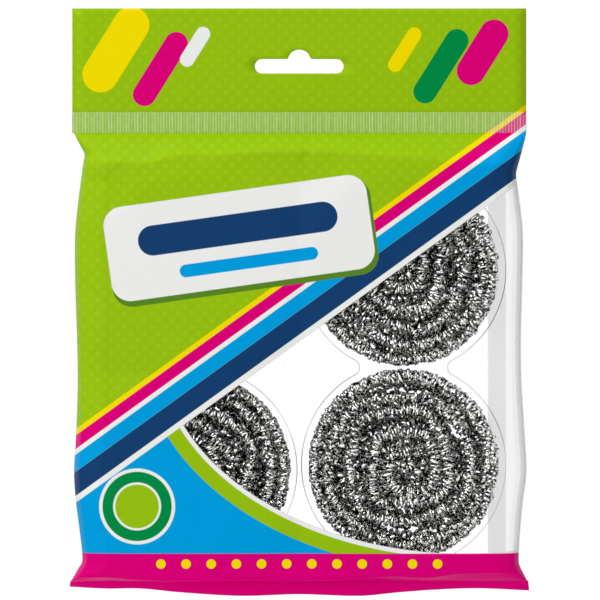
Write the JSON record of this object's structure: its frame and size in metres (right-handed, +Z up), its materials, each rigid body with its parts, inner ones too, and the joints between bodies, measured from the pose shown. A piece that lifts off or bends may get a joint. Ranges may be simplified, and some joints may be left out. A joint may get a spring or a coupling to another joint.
{
  "type": "pot scourer hang pack",
  "caption": "Hang pack of wound steel pot scourers: film bag with punched header and crimped seal, clear tray with round wells, and scourers that turn in them.",
  "frame": {"origin": "middle of the hang slot's straight part, half way through the two plies", "axes": "+Z up as the pack hangs, front towards -Y, +X to the right seen from the front"},
  "size_m": [0.1658, 0.0258, 0.2114],
  "materials": {
    "printed_film": "gloss",
    "back_film": "gloss",
    "band_film": "gloss",
    "clear_sheet": "clear gloss",
    "steel_ribbon": "bright ribbon"
  },
  "bodies": {
    "header": {"header_front_ply": "printed_film", "header_back_ply": "back_film"},
    "pouch": {"crimp_seal": "printed_film", "front_panel": "printed_film", "back_panel": "back_film", "left_gusset": "printed_film", "right_gusset": "printed_film", "bottom_seal": "band_film", "back_seam": "back_film", "tray": "clear_sheet"},
    "upper_left_scourer": {"scourer_upper_left": "steel_ribbon"},
    "upper_right_scourer": {"scourer_upper_right": "steel_ribbon"},
    "lower_left_scourer": {"scourer_lower_left": "steel_ribbon"},
    "lower_right_scourer": {"scourer_lower_right": "steel_ribbon"}
  },
  "joints": [
    {"name": "header_fold", "type": "hinge", "parent": "header", "child": "pouch", "pos_m": [0, 0, -0.0165], "axis": [1, 0, 0], "range_deg": [-135, 135]},
    {"name": "upper_left_turn", "type": "hinge", "parent": "pouch", "child": "upper_left_scourer", "pos_m": [-0.03745, -0.00035, -0.0753], "axis": [0, 1, 0], "continuous": true},
    {"name": "upper_right_turn", "type": "hinge", "parent": "pouch", "child": "upper_right_scourer", "pos_m": [0.03745, -0.00035, -0.0735], "axis": [0, 1, 0], "continuous": true},
    {"name": "lower_left_turn", "type": "hinge", "parent": "pouch", "child": "lower_left_scourer", "pos_m": [-0.03745, -0.00035, -0.145], "axis": [0, 1, 0], "continuous": true},
    {"name": "lower_right_turn", "type": "hinge", "parent": "pouch", "child": "lower_right_scourer", "pos_m": [0.03745, -0.00035, -0.1432], "axis": [0, 1, 0], "continuous": true}
  ]
}
